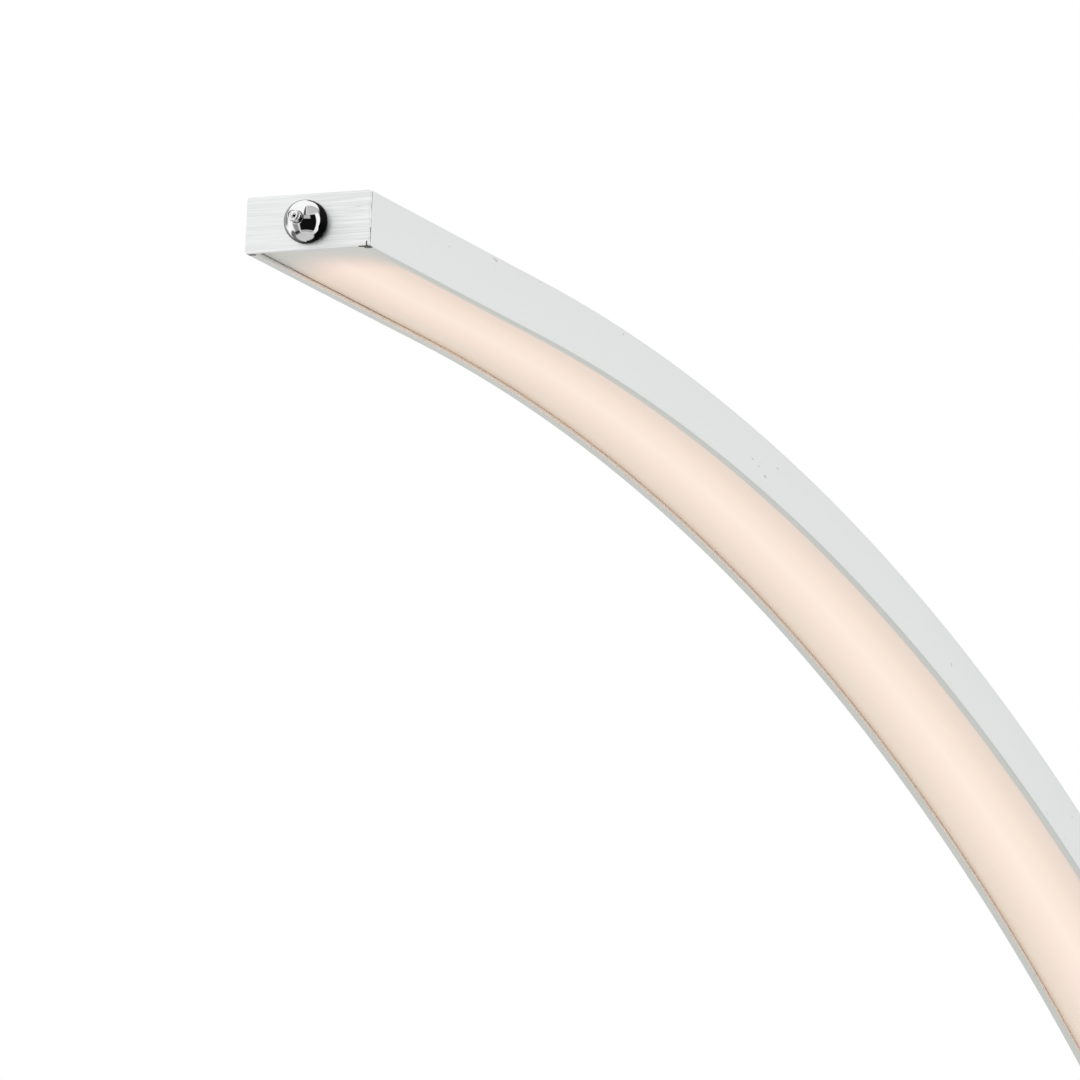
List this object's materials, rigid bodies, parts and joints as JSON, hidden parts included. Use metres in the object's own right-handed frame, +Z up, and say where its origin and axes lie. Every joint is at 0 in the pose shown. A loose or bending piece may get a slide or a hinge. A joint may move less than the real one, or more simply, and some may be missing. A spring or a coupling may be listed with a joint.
{
  "type": "arc floor lamp",
  "caption": "Floor lamp with a shallow aluminium channel arm bent in one arc over a heavy base, lit along its inner face by an opal diffuser, with a push switch in the end plate.",
  "frame": {"origin": "on the floor, under the middle of the base", "axes": "+Z up, +X the way the arm reaches, +Y to the left of someone facing along the reach"},
  "size_m": [1.4876, 0.26, 2.0033],
  "materials": {
    "profile_aluminium": "satin anodised, light grey, with a very fine grain",
    "end_plate_aluminium": "brushed straight across its width, clear anodised",
    "opal_diffuser": "opal, satin, emissive while the lamp is on, warm white",
    "switch_chrome": "polished chrome plating",
    "insert_plastic": "moulded black plastic",
    "switch_plastic": "moulded off-white plastic",
    "circuit_board": "white solder mask on a flexible board",
    "led_package": "phosphor-filled LED packages, emissive while the lamp is on",
    "wire_jacket": "white wire jacket",
    "connector_plastic": "moulded white plastic",
    "zinc_steel": "zinc-plated steel",
    "stainless_steel": "plain stainless steel",
    "terminal_brass": "tinned brass",
    "base_coating": "satin silver-grey powder coat",
    "weight_iron": "primed casting",
    "plate_steel": "black-coated sheet steel",
    "pad_rubber": "soft black rubber",
    "gland_rubber": "moulded flexible black gland",
    "driver_case": "moulded white plastic case"
  },
  "bodies": {
    "lamp": {"arm_lower": "profile_aluminium", "arm_middle": "profile_aluminium", "arm_tip": "profile_aluminium", "blank_cover_lower": "profile_aluminium", "diffuser_middle": "opal_diffuser", "diffuser_tip": "opal_diffuser", "led_strip_middle": "circuit_board", "led_strip_tip": "circuit_board", "leds_middle": "led_package", "leds_tip": "led_package", "splice_bars_lower": "zinc_steel", "splice_bars_upper": "zinc_steel", "splice_screws_lower": "stainless_steel", "splice_screws_upper": "stainless_steel", "feed_wire_base": "wire_jacket", "feed_wire_middle": "wire_jacket", "feed_wire_tip": "wire_jacket", "feed_plug_lower": "connector_plastic", "feed_socket_lower": "connector_plastic", "feed_plug_upper": "connector_plastic", "feed_socket_upper": "connector_plastic", "end_plate": "end_plate_aluminium", "end_block": "insert_plastic", "switch_body": "switch_plastic", "switch_dome_nut": "switch_chrome", "switch_spring": "stainless_steel", "switch_rear_cover": "insert_plastic", "switch_terminals": "terminal_brass", "switch_leads": "wire_jacket", "floor_pad": "pad_rubber", "base_bottom_plate": "plate_steel", "bottom_plate_screws": "zinc_steel", "base_weight": "weight_iron", "base_cover": "base_coating", "flex_gland": "gland_rubber", "led_driver": "driver_case", "foot_socket": "base_coating", "foot_bolts": "zinc_steel", "foot_set_screws": "stainless_steel"},
    "switch_button": {"switch_plunger": "switch_chrome", "switch_contact_bridge": "terminal_brass"}
  },
  "joints": [
    {"name": "switch_button_slide", "type": "slide", "parent": "lamp", "child": "switch_button", "axis": [-0.9949, 0, -0.1011], "range_m": [0, 0.0025], "stiffness_N_per_m": 800, "springref_m": -0.0025, "deforming": ["switch_spring"]}
  ]
}
